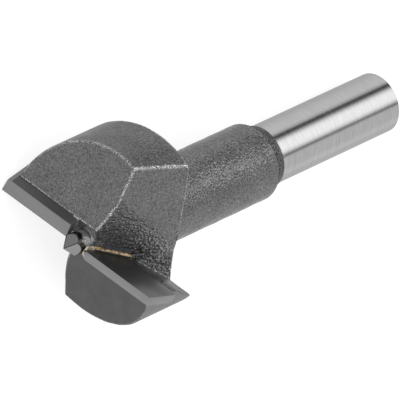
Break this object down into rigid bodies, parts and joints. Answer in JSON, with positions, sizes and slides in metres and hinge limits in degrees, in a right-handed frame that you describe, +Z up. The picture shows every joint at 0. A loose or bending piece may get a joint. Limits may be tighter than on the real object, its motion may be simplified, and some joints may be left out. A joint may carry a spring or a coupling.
{
  "type": "forstner bit",
  "caption": "Two-lobed boring bit: cast head with brazed carbide plates, a ground centre point, open chip gullets, a round neck and a ground shank.",
  "frame": {"origin": "centre of the footprint, on the table that the bit lies on", "axes": "+X from the centre point towards the shank, seen from above; +Z up; the bit's own axis dips towards the shank end"},
  "size_m": [0.0592, 0.0244, 0.0229],
  "materials": {
    "cast_steel": "sand-cast head and neck, bright ground shank",
    "carbide": "ground, satin",
    "braze": "solidified solder, lumpy"
  },
  "bodies": {
    "root": {"bit_body": "cast_steel", "carbide_tip_1": "carbide", "carbide_tip_2": "carbide", "braze_seam_1": "braze", "braze_seam_2": "braze"}
  },
  "joints": []
}
